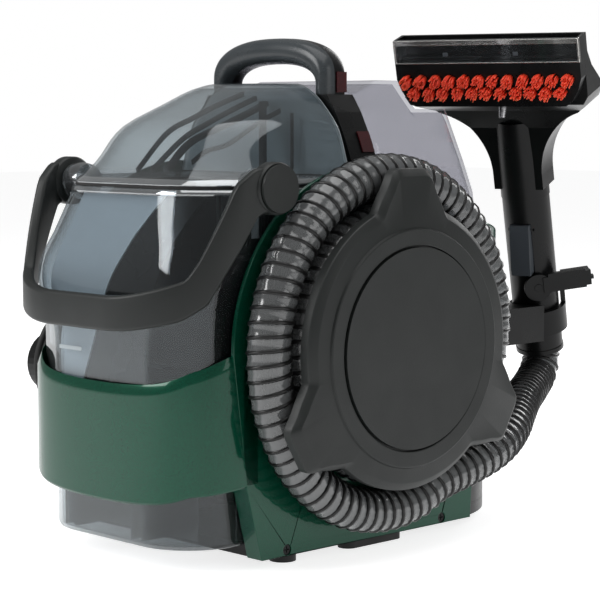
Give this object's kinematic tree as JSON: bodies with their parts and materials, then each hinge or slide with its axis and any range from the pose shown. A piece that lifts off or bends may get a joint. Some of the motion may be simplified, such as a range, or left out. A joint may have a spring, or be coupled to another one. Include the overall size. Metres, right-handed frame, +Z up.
{
  "type": "portable spot extractor",
  "caption": "Portable carpet and upholstery spot extractor with clear tanks, swinging bail, carry handle, side-wound suction hose, cord hooks and a parked brush tool.",
  "frame": {"origin": "centre of the bounding box on the floor, under the rubber feet", "axes": "+Z up, -Y towards the dirty water tank and bail, +X towards the hose reel"},
  "size_m": [0.292, 0.4729, 0.3554],
  "materials": {
    "green": "glossy metallic deep green",
    "black": "satin black",
    "charcoal": "fine textured charcoal",
    "deck_grey": "light grey satin",
    "smoke_clear": "clear smoke-tinted plastic",
    "lavender_clear": "clear lavender-grey plastic",
    "red_clear": "dark red tinted plastic",
    "head_clear": "clear plastic",
    "hose_film": "ribbed vinyl hose, clear film on a black helix",
    "rubber": "soft black",
    "steel": "bright steel",
    "valve_white": "natural white",
    "switch_red": "red rocker",
    "bristle_red": "red-orange nylon"
  },
  "bodies": {
    "case": {"base_chassis": "black", "rubber_feet": "rubber", "rear_housing": "black", "tank_deck": "deck_grey", "rear_cowl": "green", "center_frame": "black", "carry_handle": "charcoal", "handle_inlays": "red_clear", "hose_side_panel": "green", "cord_side_panel": "green", "front_band": "green", "hose_reel_hub": "black", "hose_reel_cover": "charcoal", "hose_reel_cap": "charcoal", "hose_port": "black", "case_screws": "black", "vac_motor": "steel", "motor_mount": "charcoal", "fan_housing": "charcoal", "pump_body": "charcoal", "pump_tube": "head_clear", "tank_socket": "black", "switch_bezel": "black", "tool_cradle": "black", "cord_hook_front": "black", "hook_pin": "steel", "cord_gland": "rubber", "cord_winding": "rubber", "cord_lead": "rubber", "cord_tail": "rubber", "power_plug": "rubber", "flex_hose": "hose_film"},
    "impeller": {"fan_impeller": "valve_white"},
    "rocker": {"power_switch": "switch_red"},
    "rear_hook": {"cord_hook_rear": "black"},
    "dirty_tank": {"dirty_tank_shell": "smoke_clear", "tank_baffle": "smoke_clear", "float_cage": "charcoal", "tank_seal": "rubber"},
    "float": {"float_ball": "valve_white"},
    "lid": {"dirty_tank_lid": "smoke_clear"},
    "bail": {"bail_pins": "steel", "bail_handle": "charcoal", "bail_caps": "charcoal"},
    "clean_tank": {"clean_tank_shell": "lavender_clear", "clean_tank_neck": "lavender_clear"},
    "cap": {"clean_tank_cap": "black", "cap_seal": "rubber"},
    "poppet": {"tank_valve": "valve_white"},
    "tool": {"hose_collar": "black", "hose_grip": "black", "spray_valve": "steel", "tool_pins": "steel"},
    "trigger": {"spray_trigger": "charcoal"},
    "lever": {"grip_lever": "black"},
    "head": {"tool_body": "black", "brush_block": "black", "brush_bristles": "bristle_red", "nozzle_window": "head_clear", "spray_tip": "steel"}
  },
  "joints": [
    {"name": "bail_swing", "type": "hinge", "parent": "dirty_tank", "child": "bail", "pos_m": [0, -0.1565, 0.249], "axis": [-1, 0, 0], "range_deg": [0, 128]},
    {"name": "dirty_tank_lift", "type": "slide", "parent": "case", "child": "dirty_tank", "axis": [0, 0, 1], "range_m": [0, 0.25]},
    {"name": "lid_lift", "type": "slide", "parent": "dirty_tank", "child": "lid", "axis": [0, 0, 1], "range_m": [0, 0.045]},
    {"name": "float_rise", "type": "slide", "parent": "dirty_tank", "child": "float", "axis": [0, 0, 1], "range_m": [0, 0.018]},
    {"name": "clean_tank_lift", "type": "slide", "parent": "case", "child": "clean_tank", "axis": [0, 0, 1], "range_m": [0, 0.09]},
    {"name": "cap_turn", "type": "hinge", "parent": "clean_tank", "child": "cap", "pos_m": [0, 0.0095, 0.19], "axis": [0, 0, 1], "range_deg": [0, 90]},
    {"name": "poppet_open", "type": "slide", "parent": "cap", "child": "poppet", "axis": [0, 0, 1], "range_m": [0, 0.004], "stiffness_N_per_m": 300, "springref_m": -0.001},
    {"name": "switch_rock", "type": "hinge", "parent": "case", "child": "rocker", "pos_m": [0, 0.1045, 0.202], "axis": [1, 0, 0], "range_deg": [-9, 0]},
    {"name": "hook_turn", "type": "hinge", "parent": "case", "child": "rear_hook", "pos_m": [-0.113, 0.0225, 0.115], "axis": [1, 0, 0], "range_deg": [0, 180]},
    {"name": "impeller_spin", "type": "hinge", "parent": "case", "child": "impeller", "pos_m": [0, -0.0125, 0.092], "axis": [0, 1, 0], "continuous": true},
    {"name": "tool_lift", "type": "slide", "parent": "case", "child": "tool", "axis": [0.0925, -0.2685, 0.9588], "range_m": [0, 0.06]},
    {"name": "trigger_press", "type": "hinge", "parent": "tool", "child": "trigger", "pos_m": [0.03463, 0.17645, 0.20644], "axis": [0.9455, 0.3256, 0], "range_deg": [0, 4], "stiffness_Nm_per_rad": 0.3, "springref_deg": -2.86},
    {"name": "lever_turn", "type": "hinge", "parent": "tool", "child": "lever", "pos_m": [0.03984, 0.19048, 0.16085], "axis": [0.7431, -0.6223, -0.246], "range_deg": [0, 20]},
    {"name": "head_pull", "type": "slide", "parent": "tool", "child": "head", "axis": [0.0925, -0.2685, 0.9588], "range_m": [0, 0.04]}
  ]
}
